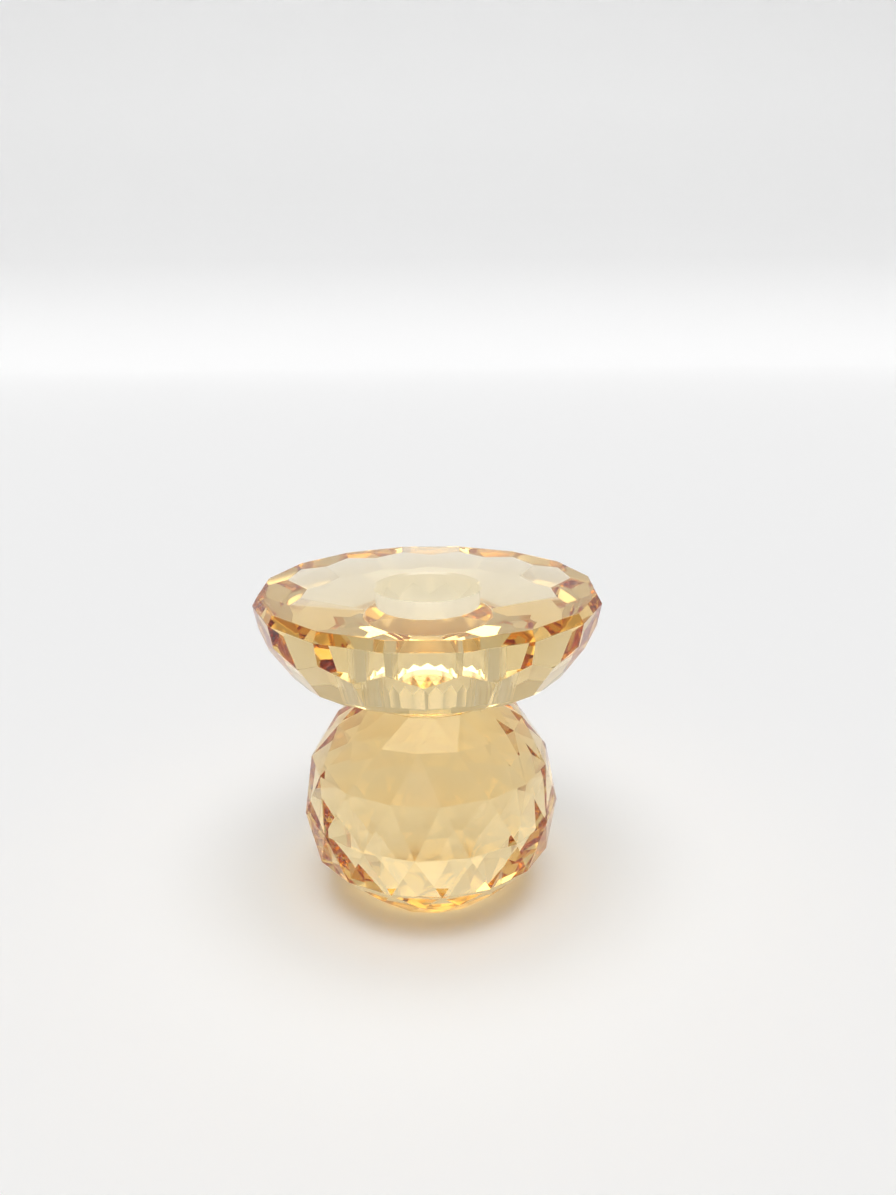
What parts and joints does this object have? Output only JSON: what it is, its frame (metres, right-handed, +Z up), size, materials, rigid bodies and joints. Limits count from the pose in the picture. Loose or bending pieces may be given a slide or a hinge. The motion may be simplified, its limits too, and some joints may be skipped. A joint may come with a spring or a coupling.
{
  "type": "glass candlestick",
  "caption": "Low cut-glass candlestick: a faceted dish with a blind candle socket bonded on a faceted ball with a flat base.",
  "frame": {"origin": "centre of the flat base, on the surface that the candlestick stands on", "axes": "+Z up along the axis of the socket and the ball, -Y towards the viewer of the picture, +X to the viewer's right"},
  "size_m": [0.077, 0.077, 0.0744],
  "materials": {
    "dish_glass": "polished pale amber crystal, lightly scuffed socket",
    "ball_glass": "polished pale amber crystal",
    "clear_resin": "cured clear adhesive"
  },
  "bodies": {
    "root": {"candle_dish": "dish_glass", "ball_stem": "ball_glass", "adhesive_film": "clear_resin"}
  },
  "joints": []
}
